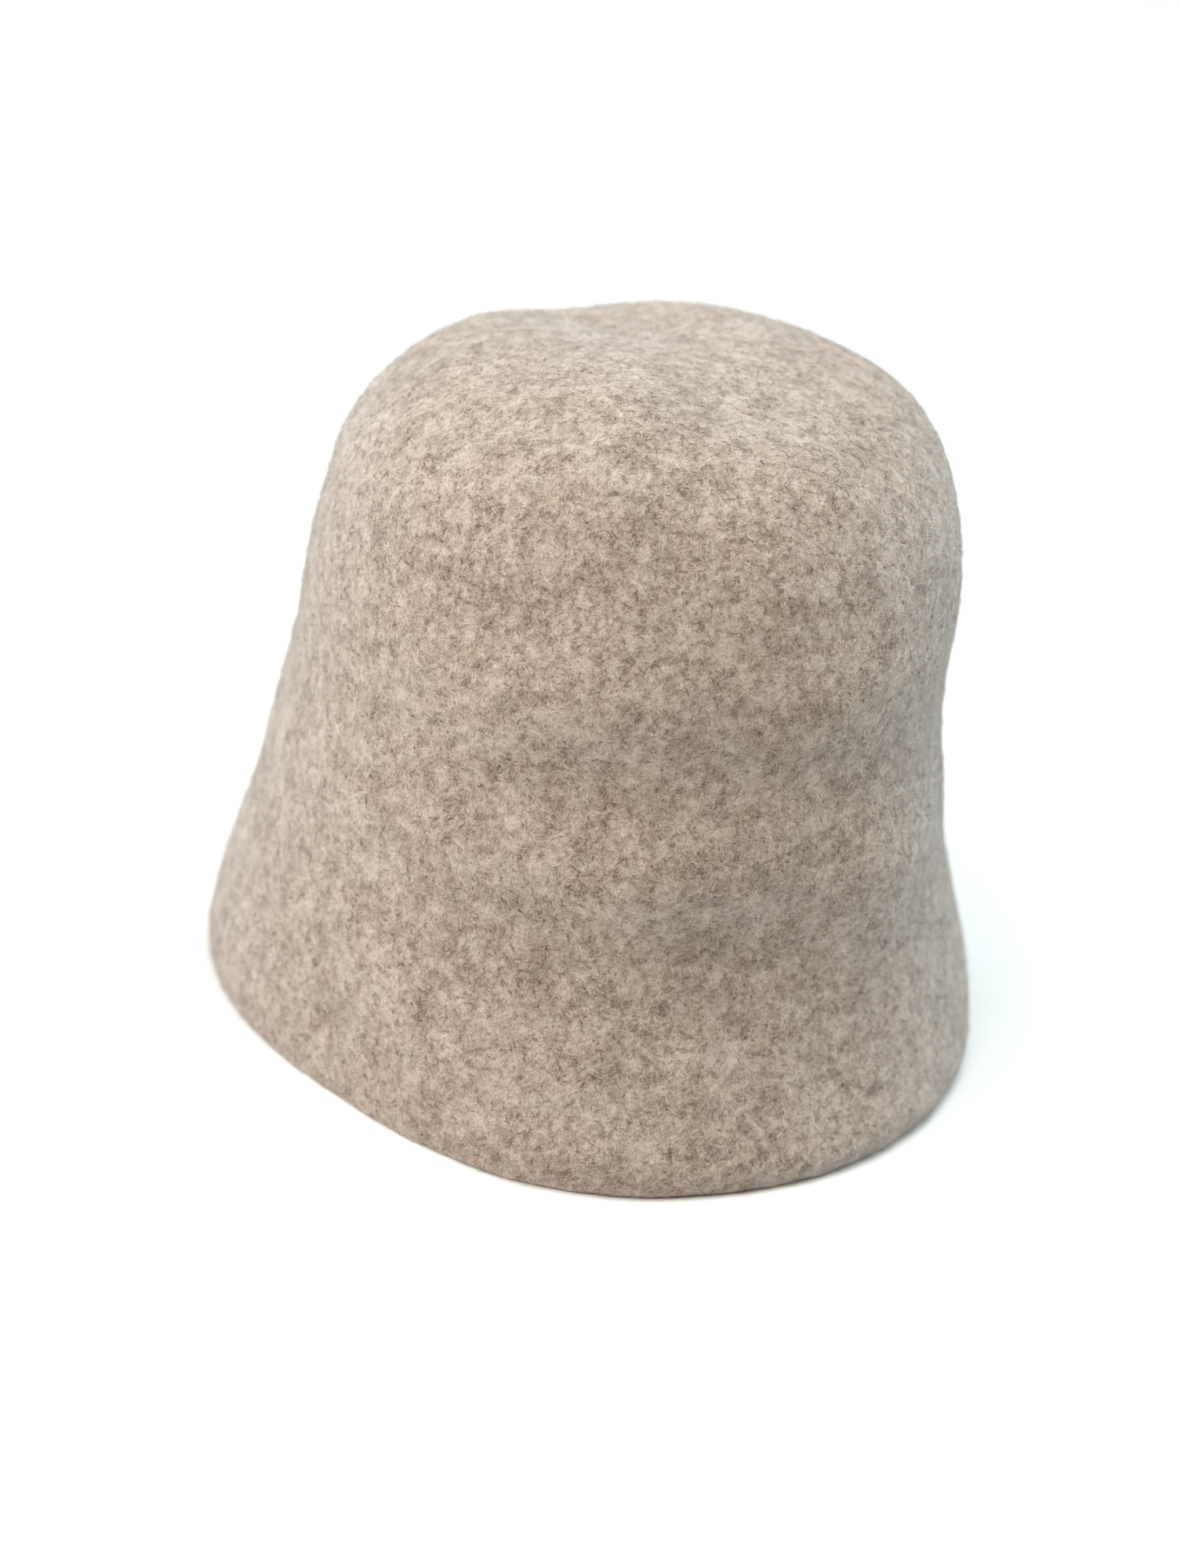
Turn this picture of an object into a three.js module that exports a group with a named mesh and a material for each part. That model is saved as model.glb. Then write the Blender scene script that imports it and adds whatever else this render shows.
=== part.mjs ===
// A seamless cloche hat of felted wool. A wool hood is pulled over a block while wet, so the crown
// runs into the brim without a seam, and the whole hat is one thin moulded wall of felt, open below.
// Millimetres, +Z up. The rim lies flat in the plane z = 0, centred on the origin, and the brow
// faces -Y.
import * as THREE from "three";
import { ParametricGeometry } from "three/addons/geometries/ParametricGeometry.js";

// Driving sizes
const headWidth = 174; // inside the felt at the head line, ear to ear
const headLength = 190; // inside the felt at the head line, brow to nape
const feltThickness = 2.8;
const crownHeight = 108; // from the head line up to the tip
const brimDepth = 83; // from the rim up to the head line
const sideFlare = 12; // how far the rim stands out past the head line over the ears
const browFlare = 25; // the same over the brow
const napeFlare = 18; // the same over the nape
const crownLean = 5; // how far the soft tip has slumped towards +X
const foldDepth = 9; // the depth of the strongest fold that is pressed into the felt

// How finely the wall is faceted
const stepsAround = 64;
const stepsUp = 30;

// The blocked outline, from the rim up to the head line. height is a share of brimDepth and flare a
// share of the three flares.
const brimSections = [
  { height: 0.0, flare: 1.0 },
  { height: 0.1, flare: 1.047 },
  { height: 0.35, flare: 0.691 },
  { height: 0.65, flare: 0.257 },
  { height: 0.88, flare: 0.112 },
];

// The same from the head line up to the tip. height is a share of crownHeight and reach a share of
// the head's half width and half length.
const crownSections = [
  { height: 0.1, reach: 0.984 },
  { height: 0.32, reach: 0.977 },
  { height: 0.52, reach: 0.958 },
  { height: 0.7, reach: 0.904 },
  { height: 0.84, reach: 0.771 },
  { height: 0.94, reach: 0.553 },
  { height: 0.985, reach: 0.253 },
  { height: 1.0, reach: 0.0 },
];

// Soft folds and hollows of the wall. bearing is in degrees round the hat from +X, and -90 is the
// brow. arc is how many degrees the fold spreads either way, height and band are shares of the
// hat's height, and push is a share of foldDepth, out of the hat where it is positive. The wall
// turns level towards the tip, so a push gives out there with the reach.
const folds = [
  // The crown's brow side: a hollow down its middle, in a swelling that is twice as wide, and a smaller
  // hollow towards each temple
  { bearing: -89, arc: 18, height: 0.668, band: 0.11, push: -1.0 },
  { bearing: -90, arc: 39, height: 0.662, band: 0.08, push: 0.72 },
  { bearing: -114, arc: 12, height: 0.536, band: 0.075, push: -0.36 },
  { bearing: -44, arc: 31, height: 0.591, band: 0.055, push: -0.16 },
  // Under them, the soft ridge along the head line and the swelling at its right end
  { bearing: -94, arc: 50, height: 0.433, band: 0.055, push: 0.4 },
  { bearing: -54, arc: 14, height: 0.374, band: 0.115, push: 0.71 },
  // The foot of the crease that runs down from the tip, and the dents on either side of it
  { bearing: -104, arc: 12, height: 0.865, band: 0.11, push: -0.79 },
  { bearing: -79, arc: 24, height: 0.844, band: 0.075, push: -0.23 },
  { bearing: -125, arc: 12, height: 0.803, band: 0.08, push: -0.58 },
  { bearing: -128, arc: 12, height: 0.736, band: 0.045, push: -0.29 },
  // The soft waves of the brim
  { bearing: -9, arc: 26, height: 0.125, band: 0.185, push: 0.58 },
  { bearing: -54, arc: 46, height: 0.027, band: 0.03, push: 0.3 },
  { bearing: -80, arc: 30, height: 0.164, band: 0.25, push: -0.75 },
  { bearing: -147, arc: 23, height: 0.056, band: 0.115, push: -0.76 },
  { bearing: 173, arc: 30, height: 0.173, band: 0.165, push: 0.22 },
];

// Hollows and swellings of the tip. side and back are where one lies towards +X and +Y, as shares of
// the head's half width and half length, across and along are how far it spreads, as the same
// shares, and push is a share of foldDepth, upwards where it is positive.
const tipFolds = [
  // The saddle at the back of the tip, where the crease over it begins
  { side: -0.09, back: 0.43, across: 0.27, along: 0.42, push: -0.81 },
  // The swellings before it and beside it
  { side: -0.23, back: -0.34, across: 0.17, along: 0.39, push: 0.41 },
  { side: 0.9, back: 0.02, across: 0.26, along: 0.51, push: 0.61 },
];

const hatHeight = brimDepth + crownHeight;
const halfWidth = headWidth / 2 + feltThickness;
const halfLength = headLength / 2 + feltThickness;

// The outline as a smooth curve of share of reach against height. Past the tip it turns back down
// the other side, so that it crosses the top level.
const mirroredTip = crownSections.at(-2);
const outline = new THREE.CatmullRomCurve3(
  [
    ...brimSections.map(({ height, flare }) => new THREE.Vector3(1, height * brimDepth, flare)),
    ...crownSections.map(
      ({ height, reach }) => new THREE.Vector3(reach, brimDepth + height * crownHeight, 0),
    ),
    new THREE.Vector3(-mirroredTip.reach, brimDepth + mirroredTip.height * crownHeight, 0),
  ],
  false,
  "centripetal",
);
const spans = outline.points.length - 1;
const tipShare = (spans - 1) / spans;

// A bell curve that is 1 in the middle of a fold and fades out past its spread.
function fade(distance, spread) {
  return Math.exp(-((distance / spread) ** 2));
}

// The shorter way round from one bearing to another, in degrees.
function turnBetween(bearing, other) {
  return THREE.MathUtils.euclideanModulo(bearing - other + 180, 360) - 180;
}

// A point on the outside of the felt. around goes once round the hat from 0 to 1, and up goes from
// 0 at the rim to 1 at the tip.
function outerPoint(around, up) {
  const angle = 2 * Math.PI * around;
  const [side, front] = [Math.cos(angle), Math.sin(angle)];
  const { x: reach, y: height, z: flare } = outline.getPoint(up * tipShare);
  const endFlare = front < 0 ? browFlare : napeFlare;
  const point = new THREE.Vector3(
    side * (reach * halfWidth + flare * sideFlare),
    front * (reach * halfLength + flare * endFlare),
    height,
  );

  const bearing = THREE.MathUtils.radToDeg(angle);
  const outwards = new THREE.Vector2(side / halfWidth, front / halfLength).normalize();
  for (const fold of folds) {
    const push =
      fold.push *
      foldDepth *
      reach *
      fade(turnBetween(bearing, fold.bearing), fold.arc) *
      fade(height / hatHeight - fold.height, fold.band);
    point.x += outwards.x * push;
    point.y += outwards.y * push;
  }

  const crownShare = THREE.MathUtils.clamp((height - brimDepth) / crownHeight, 0, 1);
  for (const fold of tipFolds) {
    point.z +=
      fold.push *
      foldDepth *
      THREE.MathUtils.smoothstep(crownShare, 0.5, 1) *
      fade(point.x / halfWidth - fold.side, fold.across) *
      fade(point.y / halfLength - fold.back, fold.along);
  }
  point.x += crownLean * crownShare;
  return point;
}

// The way out of the felt at a point, square to the wall. At the tip it is straight up.
function outwardNormal(around, up) {
  const step = 1e-3;
  if (up > 1 - step) {
    return new THREE.Vector3(0, 0, 1);
  }
  const alongRim = outerPoint(around + step, up).sub(outerPoint(around - step, up));
  const upWall = outerPoint(around, up + step).sub(outerPoint(around, Math.max(up - step, 0)));
  return alongRim.cross(upWall).normalize();
}

// A point on the inside of the felt. The cut edge of the rim is level, so there the wall's
// thickness is taken straight inwards.
function innerPoint(around, up) {
  const inwards = outwardNormal(around, up).negate();
  if (up === 0) {
    inwards.setZ(0).normalize();
  }
  return outerPoint(around, up).addScaledVector(inwards, feltThickness);
}

// The whole wall as one surface: down the inside from the tip to the rim, across the cut edge, and
// up the outside to the tip again.
const stepsAlong = 2 * stepsUp + 1;
function feltPoint(u, v, target) {
  const around = u % 1;
  const step = Math.round(v * stepsAlong);
  target.copy(
    step <= stepsUp
      ? innerPoint(around, 1 - step / stepsUp)
      : outerPoint(around, (step - stepsUp - 1) / stepsUp),
  );
}

const felt = new THREE.Mesh(
  new ParametricGeometry(feltPoint, stepsAround, stepsAlong),
  new THREE.MeshStandardMaterial({ color: 0xbcaa98, roughness: 0.95, metalness: 0 }),
);
felt.name = "felt_hat";

// The folds and the lean move the outline a little, so the hat is centred on its own box.
const middle = new THREE.Box3().setFromObject(felt).getCenter(new THREE.Vector3());
felt.position.set(-middle.x, -middle.y, 0);

const hat = new THREE.Group();
hat.add(felt);

export default hat;
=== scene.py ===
import math

import bmesh
import bpy
import numpy as np
from mathutils import Matrix, Vector, noise
from mathutils.bvhtree import BVHTree


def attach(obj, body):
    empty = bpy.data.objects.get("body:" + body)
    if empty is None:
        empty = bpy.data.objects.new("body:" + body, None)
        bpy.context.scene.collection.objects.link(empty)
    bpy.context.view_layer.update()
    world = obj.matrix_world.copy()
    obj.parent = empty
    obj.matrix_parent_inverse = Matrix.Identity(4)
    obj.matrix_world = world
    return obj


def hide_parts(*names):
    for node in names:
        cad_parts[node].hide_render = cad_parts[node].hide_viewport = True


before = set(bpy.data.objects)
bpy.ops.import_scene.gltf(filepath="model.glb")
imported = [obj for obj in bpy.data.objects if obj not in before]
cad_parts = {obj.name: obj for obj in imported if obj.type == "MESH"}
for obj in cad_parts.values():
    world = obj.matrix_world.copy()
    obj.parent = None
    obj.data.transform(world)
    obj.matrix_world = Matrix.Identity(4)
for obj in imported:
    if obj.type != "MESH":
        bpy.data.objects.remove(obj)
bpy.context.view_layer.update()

# The felt wall
# The whole hat is one seamless hood of boiled wool about 3 mm thick, pulled over a wooden block
# while it was wet and left to dry. Its skin is matted and slightly lumpy, its brim is cut off level
# and left raw, and cream, tan and grey-brown wool are mixed all through it.
WELD_DISTANCE = 0.00001
QUAD_FACE_ANGLE = math.radians(40)
QUAD_SHAPE_ANGLE = math.radians(60)
LEVEL_CUT_NORMAL = -0.9
RIM_ROUNDING = 0.0009
RIM_SEGMENTS = 2
SMOOTHING_LEVELS = 2
LUMP_SIZE = 0.021
LUMP_HEIGHT = 0.0006
PILL_SIZE = 0.0055
PILL_HEIGHT = 0.00028
PILL_ROUGHNESS = 0.7
PILL_SHRINK = 2.0
PILL_OCTAVES = 3

shaping = bmesh.new()
shaping.from_mesh(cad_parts["felt_hat"].data)
bmesh.ops.remove_doubles(shaping, verts=shaping.verts, dist=WELD_DISTANCE)
bmesh.ops.join_triangles(
    shaping,
    faces=shaping.faces,
    angle_face_threshold=QUAD_FACE_ANGLE,
    angle_shape_threshold=QUAD_SHAPE_ANGLE,
)
rim_edges = [
    edge
    for edge in shaping.edges
    if all(vert.co.z < WELD_DISTANCE for vert in edge.verts)
    and any(face.normal.z > LEVEL_CUT_NORMAL for face in edge.link_faces)
]
bmesh.ops.bevel(
    shaping,
    geom=rim_edges,
    offset=RIM_ROUNDING,
    segments=RIM_SEGMENTS,
    profile=0.5,
    affect="EDGES",
    material=-1,
)
blocked = bpy.data.meshes.new("blocked_felt")
shaping.to_mesh(blocked)
shaping.free()

felt_wall = bpy.data.objects.new("felt_wall", blocked)
bpy.context.collection.objects.link(felt_wall)
smoothing = felt_wall.modifiers.new("smoothing", "SUBSURF")
smoothing.levels = smoothing.render_levels = SMOOTHING_LEVELS
depsgraph = bpy.context.evaluated_depsgraph_get()
wall_mesh = bpy.data.meshes.new_from_object(felt_wall.evaluated_get(depsgraph))
wall_mesh.name = "felt_wall"
felt_wall.modifiers.clear()
felt_wall.data = wall_mesh

# Faint waves of the wall over the brow. bearing is in degrees round the hat from +X, and -90 is the
# brow. arc is how many degrees a wave spreads either way, height and band are in metres, and push is
# in metres too, out of the hat where it is positive.
faint_waves = [
    {"bearing": -86, "arc": 42, "height": 0.055, "band": 0.021, "push": -0.0026},
    {"bearing": -94, "arc": 30, "height": 0.083, "band": 0.010, "push": 0.0010},
    {"bearing": -80, "arc": 42, "height": 0.108, "band": 0.012, "push": -0.0014},
    {"bearing": -82, "arc": 45, "height": 0.153, "band": 0.015, "push": -0.0015},
]


def faint_push(point):
    """How far the faint waves move a point of the wall straight out of the hat."""
    bearing = math.degrees(math.atan2(point.y, point.x))
    total = 0
    for wave in faint_waves:
        turned = (bearing - wave["bearing"] + 180) % 360 - 180
        raised = point.z - wave["height"]
        total += wave["push"] * math.exp(-((turned / wave["arc"]) ** 2) - (raised / wave["band"]) ** 2)
    return total


# The waves and the matted relief of the skin, which stop level at the rim
matting = bmesh.new()
matting.from_mesh(wall_mesh)
for vert in matting.verts:
    lump = noise.noise(vert.co / LUMP_SIZE) * LUMP_HEIGHT
    pills = noise.fractal(vert.co / PILL_SIZE, PILL_ROUGHNESS, PILL_SHRINK, PILL_OCTAVES)
    straight_out = Vector((vert.co.x, vert.co.y, 0)).normalized()
    vert.co += vert.normal * (lump + pills * PILL_HEIGHT) + straight_out * faint_push(vert.co)
    vert.co.z = max(vert.co.z, 0)
matting.to_mesh(wall_mesh)
matting.free()
wall_mesh.shade_smooth()

felt = bpy.data.materials.new("melange_felt")
felt.use_nodes = True
tree = felt.node_tree
shader = tree.nodes["Principled BSDF"]
place = tree.nodes.new("ShaderNodeTexCoord").outputs["Object"]


def noise_layer(tree, place, scale, detail, roughness, distortion=0.0):
    """Soft noise of about one blotch to each 1 / scale metres."""
    layer = tree.nodes.new("ShaderNodeTexNoise")
    layer.inputs["Scale"].default_value = scale
    layer.inputs["Detail"].default_value = detail
    layer.inputs["Roughness"].default_value = roughness
    layer.inputs["Distortion"].default_value = distortion
    tree.links.new(place, layer.inputs["Vector"])
    return layer.outputs["Fac"]


def sum_of(tree, parts):
    """Adds values up, each times its own weight."""
    total = None
    for value, weight in parts:
        step = tree.nodes.new("ShaderNodeMath")
        step.operation = "MULTIPLY_ADD"
        tree.links.new(value, step.inputs[0])
        step.inputs[1].default_value = weight
        step.inputs[2].default_value = 0.0
        if total is not None:
            tree.links.new(total, step.inputs[2])
        total = step.outputs[0]
    return total


def ramp(tree, value, stops):
    """Colours for a value. stops are pairs of a position and a colour, with the two ends first."""
    band = tree.nodes.new("ShaderNodeValToRGB")
    tree.links.new(value, band.inputs["Fac"])
    elements = band.color_ramp.elements
    for element, (position, colour) in zip(elements, stops[:2]):
        element.position = position
        element.color = (*colour, 1)
    for position, colour in stops[2:]:
        elements.new(position).color = (*colour, 1)
    return band.outputs["Color"]


def hair_lines(tree, value, middle, half_width):
    """1 along the line where a noise crosses its middle value, as a hair lies, and 0 beside it."""
    away = tree.nodes.new("ShaderNodeMath")
    away.operation = "SUBTRACT"
    tree.links.new(value, away.inputs[0])
    away.inputs[1].default_value = middle
    size = tree.nodes.new("ShaderNodeMath")
    size.operation = "ABSOLUTE"
    tree.links.new(away.outputs[0], size.inputs[0])
    line = tree.nodes.new("ShaderNodeMapRange")
    line.interpolation_type = "SMOOTHSTEP"
    tree.links.new(size.outputs[0], line.inputs["Value"])
    line.inputs["From Min"].default_value = 0.0
    line.inputs["From Max"].default_value = half_width
    line.inputs["To Min"].default_value = 1.0
    line.inputs["To Max"].default_value = 0.0
    return line.outputs["Result"]


def mixed(tree, share, below, shade):
    """A plain shade laid over the colours below it, by its share."""
    blend = tree.nodes.new("ShaderNodeMix")
    blend.data_type = "RGBA"
    tree.links.new(share, blend.inputs["Factor"])
    first, second = (socket for socket in blend.inputs if socket.type == "RGBA")
    tree.links.new(below, first)
    second.default_value = (*shade, 1)
    return next(socket for socket in blend.outputs if socket.type == "RGBA")


def finish_as_wool(shader):
    """Matt wool, with the pale bloom that its fibres have where they are seen from the side."""
    shader.inputs["Roughness"].default_value = 0.95
    shader.inputs["Diffuse Roughness"].default_value = 0.8
    shader.inputs["Specular IOR Level"].default_value = 0.2
    shader.inputs["Sheen Weight"].default_value = 0.8
    shader.inputs["Sheen Roughness"].default_value = 0.5
    shader.inputs["Sheen Tint"].default_value = (*HALO, 1)


CREAM = (0.786, 0.687, 0.594)
OAT = (0.613, 0.495, 0.40)
TAN = (0.40, 0.279, 0.195)
UMBER = (0.168, 0.094, 0.055)
HALO = (0.84, 0.87, 0.90)

# Layers of noise: scale, detail, roughness and distortion
CLOUDS = (110, 2, 0.5)
BLOTCHES = (310, 5, 0.8, 0.3)
SPECKS = (1700, 3, 0.8)

clouds = noise_layer(tree, place, *CLOUDS)
blotches = noise_layer(tree, place, *BLOTCHES)
specks = noise_layer(tree, place, *SPECKS)
melange = sum_of(tree, [(clouds, 0.17), (blotches, 0.5), (specks, 0.33)])
wool = ramp(tree, melange, [(0.405, UMBER), (0.595, CREAM), (0.472, TAN), (0.528, OAT)])

# The hairs that lie flat in the skin: the scale of their noise, the value of it that each follows,
# how thick they are and their shade. The last ones, the finest, also stand up in the relief.
matted_hairs = [
    (330, 0.46, 0.008, TAN),
    (840, 0.54, 0.02, TAN),
    (420, 0.50, 0.012, CREAM),
    (760, 0.46, 0.02, CREAM),
    (980, 0.52, 0.02, CREAM),
]
for scale, middle, half_width, shade in matted_hairs:
    crossed = noise_layer(tree, place, scale, 2, 0.6, 1.3)
    line = hair_lines(tree, crossed, middle, half_width)
    wool = mixed(tree, line, wool, shade)
tree.links.new(wool, shader.inputs["Base Color"])

relief = sum_of(tree, [(blotches, 0.45), (specks, 0.35), (line, 0.2)])
bump = tree.nodes.new("ShaderNodeBump")
bump.inputs["Strength"].default_value = 0.9
bump.inputs["Distance"].default_value = 0.0008
tree.links.new(relief, bump.inputs["Height"])
tree.links.new(bump.outputs["Normal"], shader.inputs["Normal"])
finish_as_wool(shader)

wall_mesh.materials.clear()
wall_mesh.materials.append(felt)
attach(felt_wall, "root")
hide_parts("felt_hat")

# The nap
# Loose wool on the felt after it is milled: pale, oat and tan wisps that lie matted on the skin, and
# fewer long pale hairs that curl on it and make its soft halo. Each group is one piece, and each wisp
# is a thin ribbon that takes the light as the felt under it does.
HAT_CORE = np.array((0, 0, 0.06))
INSIDE_SHARE = 0.2
SWIRL_SIZE = 0.009
STRAY_TURN = 0.9
ANY_DIRECTION = (0.3, 0.2, 1.0)
SIZE_SPREAD = (0.6, 1.4)
LIFT_SPREAD = (0.2, 1.8)
ROOT_LIFT = 0.3
CLUMP_SIZE = 0.0011
CLUMP_SLANT = 1.4
CLUMP_SEED = 1
FLOOR_CLEARANCE = 0.0001
CELL_MARGIN = 0.15

# Without a seed the clumps' vectors would differ from run to run
noise.seed_set(CLUMP_SEED)


def mesh_values(rows, name, columns, kind=float):
    """One value of every row of a mesh, such as each vertex's place, as an array."""
    values = np.empty(len(rows) * columns, kind)
    rows.foreach_get(name, values)
    return values.reshape(-1, columns)


wall_mesh.calc_loop_triangles()
wall_points = mesh_values(wall_mesh.vertices, "co", 3)
wall_normals = mesh_values(wall_mesh.vertices, "normal", 3)
corners = mesh_values(wall_mesh.loop_triangles, "vertices", 3, int)
felt_tree = BVHTree.FromPolygons(wall_points.tolist(), corners.tolist())


def unit(vectors):
    return vectors / np.linalg.norm(vectors, axis=-1, keepdims=True)


def hair_roots(random, count):
    """Even spots on the felt, most of them outside, and the directions straight out of it there."""
    a, b, c = (wall_points[corners[:, k]] for k in range(3))
    across = np.cross(b - a, c - a)
    faces_out = np.einsum("ij,ij->i", across, a - HAT_CORE) > 0
    weight = np.linalg.norm(across, axis=1) * np.where(faces_out, 1, INSIDE_SHARE)
    chosen = random.choice(len(corners), count, p=weight / weight.sum())
    share = random.random((count, 2))
    share = np.where(share.sum(1, keepdims=True) > 1, 1 - share, share)
    share = np.column_stack([1 - share.sum(1), share])[:, :, None]
    places = (wall_points[corners[chosen]] * share).sum(1)
    return places, unit((wall_normals[corners[chosen]] * share).sum(1))


def on_felt(points):
    """The nearest spots of the skin to some points, and the directions straight out of it there."""
    found = [felt_tree.find_nearest(point) for point in points.tolist()]
    spots = np.array([hit[0] for hit in found])
    faces = corners[[hit[2] for hit in found]]
    a, b, c = (wall_points[faces[:, k]] for k in range(3))
    whole = np.linalg.norm(np.cross(b - a, c - a), axis=1)
    share_b = np.linalg.norm(np.cross(spots - a, c - a), axis=1) / whole
    share_c = np.linalg.norm(np.cross(b - a, spots - a), axis=1) / whole
    share = np.column_stack([1 - share_b - share_c, share_b, share_c])[:, :, None]
    return spots, unit((wall_normals[faces] * share).sum(1))


def each(values):
    """One value for each hair, shaped to go with the points along it."""
    return values[:, None, None]


def hair_courses(random, count, length, lift, rise, curl, rings):
    """The line of each hair over the skin, from tip to tip, and the ways straight out of the felt."""
    places, out = hair_roots(random, count)
    swirl = np.array([noise.noise(Vector(place / SWIRL_SIZE)) for place in places])
    turn = 2 * math.pi * swirl + random.normal(0, STRAY_TURN, count)
    level = unit(np.cross(out, ANY_DIRECTION))
    steep = np.cross(out, level)
    along = level * np.cos(turn)[:, None] + steep * np.sin(turn)[:, None]
    aside = np.cross(out, along)

    # Each hair goes forward in equal steps, and turns evenly about its own middle
    t = np.linspace(0, 1, rings + 2)[None, :, None]
    size = each(length * random.uniform(*SIZE_SPREAD, count))
    bend = each(random.normal(0, curl, count))
    heading = bend * (t[:, 1:] + t[:, :-1] - 1)
    steps = along[:, None] * np.cos(heading) + aside[:, None] * np.sin(heading)
    walk = np.concatenate([np.zeros((count, 1, 3)), steps.cumsum(1)], 1) * size / (rings + 1)
    line = places[:, None] + walk - walk.mean(1, keepdims=True)
    line, out = (part.reshape(line.shape) for part in on_felt(line.reshape(-1, 3)))
    height = each(lift * random.uniform(*LIFT_SPREAD, count)) * (ROOT_LIFT + np.sin(math.pi * t))
    return line + out * (height + each(rise * random.exponential(1, count)) * t**2), out


def ribbons(random, line, out, width, twist):
    """The points of a ribbon along each line, between pointed ends, and their shading normals."""
    count = len(line)
    lean = each(random.normal(0, twist, count))
    across = unit(np.cross(out[:, 1:-1], line[:, 2:] - line[:, :-2]))
    across = across * np.cos(lean) + out[:, 1:-1] * np.sin(lean)
    half = across * each(width / 2 * random.uniform(*SIZE_SPREAD, count))
    sides = np.stack([line[:, 1:-1] + half, line[:, 1:-1] - half], 2).reshape(count, -1, 3)
    points = np.concatenate([line[:, :1], sides, line[:, -1:]], 1)
    points[..., 2] = np.maximum(points[..., 2], FLOOR_CLEARANCE)
    shading = np.concatenate([out[:, :1], np.repeat(out[:, 1:-1], 2, axis=1), out[:, -1:]], 1)
    clumps = [noise.noise_vector(point) for point in (points.reshape(-1, 3) / CLUMP_SIZE).tolist()]
    return points, unit(shading + CLUMP_SLANT * np.array(clumps).reshape(shading.shape))


def hairs(name, wool, count, length, width, lift, rise, curl, rings, twist, seed):
    """One piece of loose hairs.

    lift is how high a hair's middle stands and rise how high its tip does. curl is how far it turns
    and twist how far the ribbon leans, in radians. rings is how many times it is cut across.
    """
    random = np.random.default_rng(seed)
    line, out = hair_courses(random, count, length, lift, rise, curl, rings)
    points, shading = ribbons(random, line, out, width, twist)
    per_hair = 2 * rings + 2
    faces = [(0, 2, 1)]
    for left in range(1, 2 * rings - 1, 2):
        faces += [(left, left + 1, left + 3), (left, left + 3, left + 2)]
    faces = np.array(faces + [(per_hair - 3, per_hair - 2, per_hair - 1)])
    all_faces = faces[None] + per_hair * np.arange(count)[:, None, None]

    mesh = bpy.data.meshes.new(name)
    mesh.vertices.add(count * per_hair)
    mesh.vertices.foreach_set("co", points.ravel())
    mesh.loops.add(all_faces.size)
    mesh.loops.foreach_set("vertex_index", all_faces.ravel())
    mesh.polygons.add(all_faces.size // 3)
    mesh.polygons.foreach_set("loop_start", np.arange(0, all_faces.size, 3))
    mesh.update(calc_edges=True)

    # Each hair has its own small cell of the map
    cells = math.ceil(math.sqrt(count))
    spread = [(0, 0.5)]
    spread += [((ring + 1) / (rings + 1), side) for ring in range(rings) for side in (0, 1)]
    spread = np.array(spread + [(1, 0.5)]) * (1 - 2 * CELL_MARGIN) + CELL_MARGIN
    cell = np.stack([np.arange(count) % cells, np.arange(count) // cells], 1)
    flat = (cell[:, None] + spread[faces.ravel()][None]) / cells
    mesh.uv_layers.new(name="OFBake").data.foreach_set("uv", flat.ravel())

    mesh.shade_smooth()
    mesh.normals_split_custom_set_from_vertices(shading.reshape(-1, 3))
    mesh.materials.append(wool)
    piece = bpy.data.objects.new(name, mesh)
    bpy.context.collection.objects.link(piece)
    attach(piece, "root")


def loose_wool(name, dark, pale):
    """Wool of one shade, in which each hair is a little darker or paler."""
    wool = bpy.data.materials.new(name)
    wool.use_nodes = True
    tree = wool.node_tree
    shader = tree.nodes["Principled BSDF"]
    place = tree.nodes.new("ShaderNodeTexCoord").outputs["Object"]
    clouds = noise_layer(tree, place, *CLOUDS)
    blotches = noise_layer(tree, place, *BLOTCHES)
    shade = sum_of(tree, [(clouds, 0.25), (blotches, 0.75)])
    tree.links.new(ramp(tree, shade, [(0.425, dark), (0.575, pale)]), shader.inputs["Base Color"])
    finish_as_wool(shader)
    return wool


pale_wool = loose_wool("pale_wool", (0.555, 0.445, 0.355), (0.828, 0.733, 0.65))
oat_wool = loose_wool("oat_wool", (0.33, 0.225, 0.153), (0.698, 0.584, 0.484))
tan_wool = loose_wool("tan_wool", (0.17, 0.093, 0.055), (0.46, 0.336, 0.24))
hairs(
    "nap_tan",
    tan_wool,
    count=33000,
    length=0.0022,
    width=0.00018,
    lift=0.00006,
    rise=0.00003,
    curl=2.8,
    rings=3,
    twist=0.1,
    seed=13,
)
hairs(
    "nap_oat",
    oat_wool,
    count=24500,
    length=0.0036,
    width=0.00016,
    lift=0.00005,
    rise=0.00003,
    curl=2.6,
    rings=4,
    twist=0.1,
    seed=12,
)
hairs(
    "nap_pale",
    pale_wool,
    count=24500,
    length=0.0042,
    width=0.00012,
    lift=0.0001,
    rise=0.00006,
    curl=2.8,
    rings=4,
    twist=0.15,
    seed=11,
)
hairs(
    "nap_curls",
    pale_wool,
    count=16500,
    length=0.0054,
    width=0.0001,
    lift=0.00022,
    rise=0.0006,
    curl=3.8,
    rings=6,
    twist=0.6,
    seed=14,
)

# The studio
# A plain pale floor under large soft lights: one overhead, two behind the hat, one at each side, and a
# weak warm one before it at the left.
FLOOR_SIZE = 8
FLOOR_GREY = 0.9
FLOOR_ROUGHNESS = 0.9
ROOM_LIGHT = 0.02
SOFT_BOX_SIZE = 1.4
HAT_MIDDLE = Vector((0, 0, 0.09))

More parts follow.
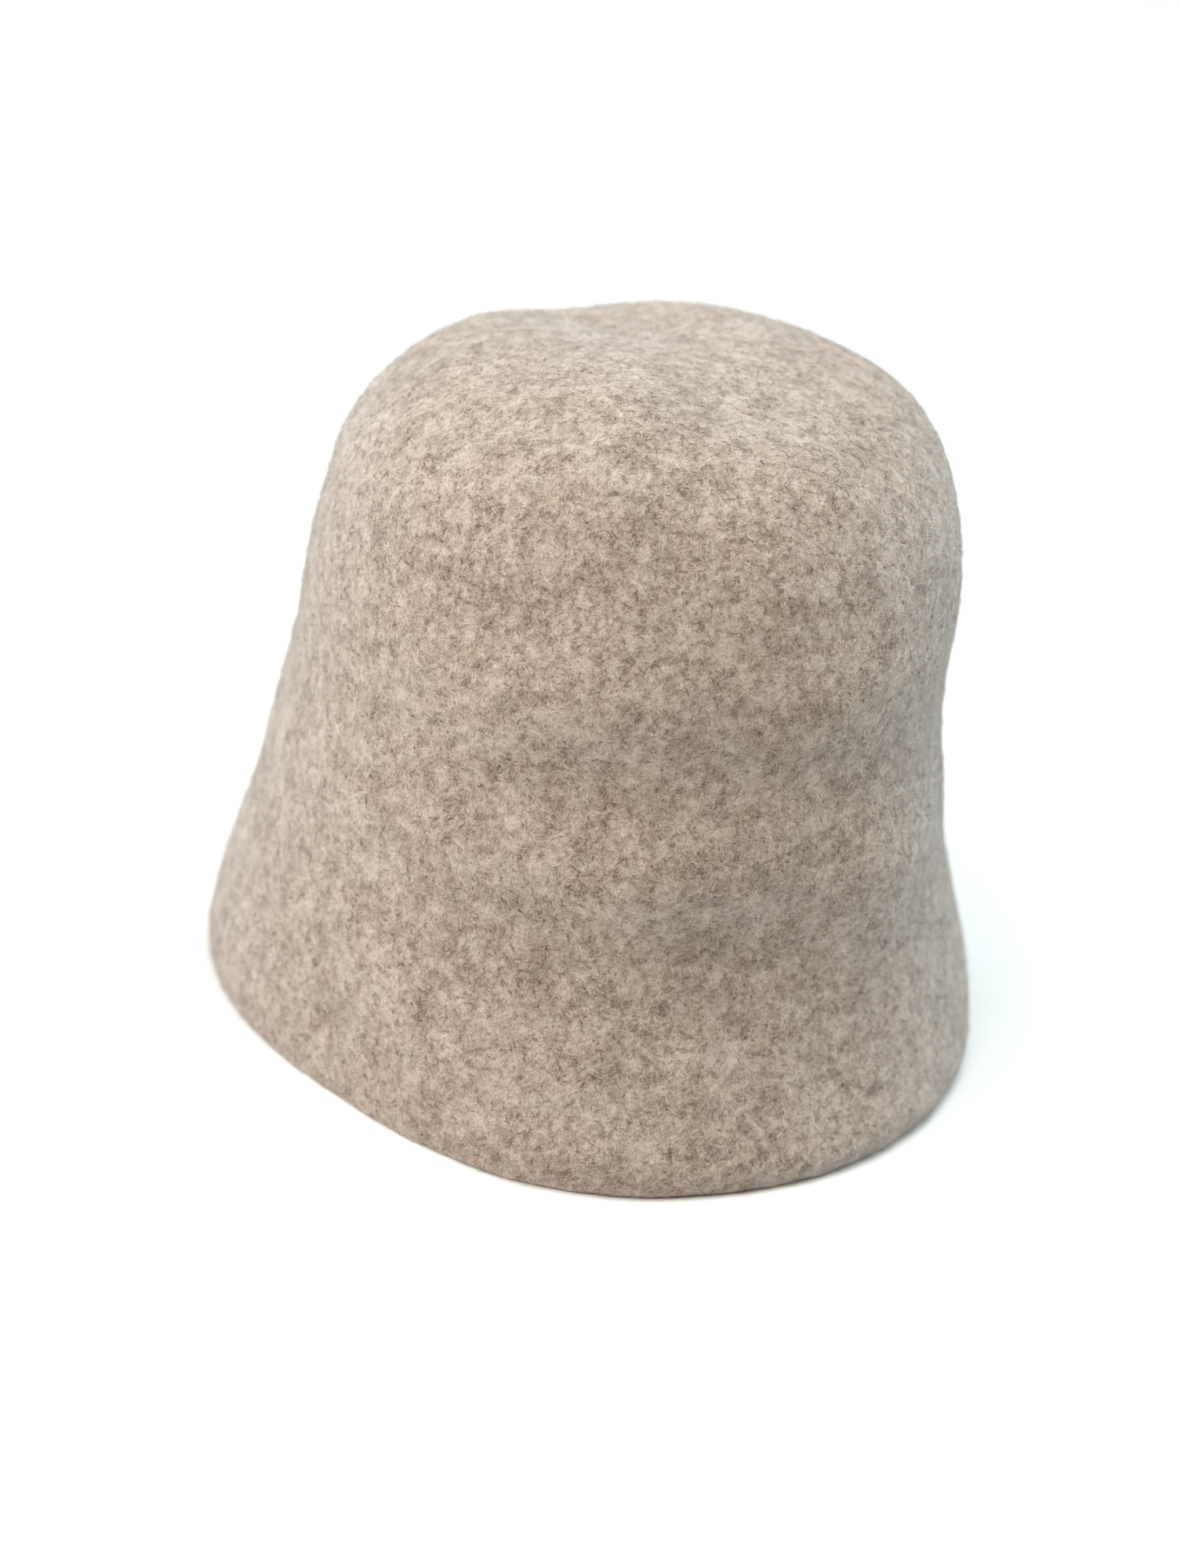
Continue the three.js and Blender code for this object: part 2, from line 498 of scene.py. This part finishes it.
floor_shape = bmesh.new()
bmesh.ops.create_grid(floor_shape, x_segments=1, y_segments=1, size=FLOOR_SIZE)
floor_mesh = bpy.data.meshes.new("floor")
floor_shape.to_mesh(floor_mesh)
floor_shape.free()
floor = bpy.data.objects.new("floor", floor_mesh)
bpy.context.collection.objects.link(floor)
paper = bpy.data.materials.new("floor_paper")
paper.use_nodes = True
paper_shader = paper.node_tree.nodes["Principled BSDF"]
paper_shader.inputs["Base Color"].default_value = (FLOOR_GREY, FLOOR_GREY, FLOOR_GREY, 1)
paper_shader.inputs["Roughness"].default_value = FLOOR_ROUGHNESS
floor_mesh.materials.append(paper)

world = bpy.data.worlds.new("studio")
bpy.context.scene.world = world
world.use_nodes = True
world.node_tree.nodes["Background"].inputs["Color"].default_value = (1, 1, 1, 1)
world.node_tree.nodes["Background"].inputs["Strength"].default_value = ROOM_LIGHT


def soft_light(name, place, power, colour):
    """A square soft box that faces the hat."""
    lamp = bpy.data.lights.new(name, "AREA")
    lamp.size = SOFT_BOX_SIZE
    lamp.energy = power
    lamp.color = colour
    holder = bpy.data.objects.new(name, lamp)
    holder.location = place
    aim = (HAT_MIDDLE - holder.location).to_track_quat("-Z", "Y")
    holder.rotation_euler = aim.to_euler()
    bpy.context.collection.objects.link(holder)


soft_light("overhead", (0, 0, 2.29), 41.8, (0.92, 0.985, 1))
soft_light("back_right", (0.95, 0.55, 2.0), 9.9, (0.74, 0.97, 1))
soft_light("back_left", (-0.95, 0.55, 2.0), 6.8, (0.82, 0.98, 1))
soft_light("front_left", (-1.27, -0.89, 1.65), 17.1, (1, 0.825, 0.67))
soft_light("right", (1.99, 0, 1.02), 21.7, (0.91, 1, 0.985))
soft_light("left", (-1.99, 0, 1.02), 25.1, (1, 0.974, 0.945))

# The camera
# It looks down at the brow from the hat's right-hand side, turned a little about its own line of
# sight, from about a metre and a half away.
VIEW_BEARING = math.radians(-18)
VIEW_HEIGHT = math.radians(25.1)
VIEW_ROLL = math.radians(6.84)
VIEW_DISTANCE = 1.5
PHOTO_HEIGHT = 2000
PIXELS_PER_METRE = 4681
HAT_RIGHT_OF_CENTRE = 41.8
HAT_ABOVE_CENTRE = 119
BROW_BEFORE_MIDDLE = 0.085
F_STOP = 4

lens = bpy.data.cameras.new("camera")
lens.sensor_fit = "VERTICAL"
lens.sensor_height = 24
lens.lens = lens.sensor_height * PIXELS_PER_METRE * VIEW_DISTANCE / PHOTO_HEIGHT
lens.shift_x = -HAT_RIGHT_OF_CENTRE / PHOTO_HEIGHT
lens.shift_y = -HAT_ABOVE_CENTRE / PHOTO_HEIGHT
camera = bpy.data.objects.new("camera", lens)
bpy.context.collection.objects.link(camera)
towards_camera = Vector(
    (
        math.sin(VIEW_BEARING) * math.cos(VIEW_HEIGHT),
        -math.cos(VIEW_BEARING) * math.cos(VIEW_HEIGHT),
        math.sin(VIEW_HEIGHT),
    )
)
camera.location = HAT_MIDDLE + towards_camera * VIEW_DISTANCE
level_view = towards_camera.to_track_quat("Z", "Y").to_matrix()
camera.rotation_euler = (level_view @ Matrix.Rotation(VIEW_ROLL, 3, "Z")).to_euler()
bpy.context.scene.camera = camera
bpy.context.scene.view_settings.view_transform = "Standard"

# The lens is focused on the side of the hat that faces it, from wherever it looks
focus_arm = bpy.data.objects.new("focus_arm", None)
focus_arm.location = HAT_MIDDLE
bpy.context.collection.objects.link(focus_arm)
turning = focus_arm.constraints.new("TRACK_TO")
turning.target = camera
turning.track_axis = "TRACK_Z"
turning.up_axis = "UP_Y"
focus_point = bpy.data.objects.new("focus_point", None)
focus_point.parent = focus_arm
focus_point.location = (0, 0, BROW_BEFORE_MIDDLE)
bpy.context.collection.objects.link(focus_point)
lens.dof.use_dof = True
lens.dof.focus_object = focus_point
lens.dof.aperture_fstop = F_STOP
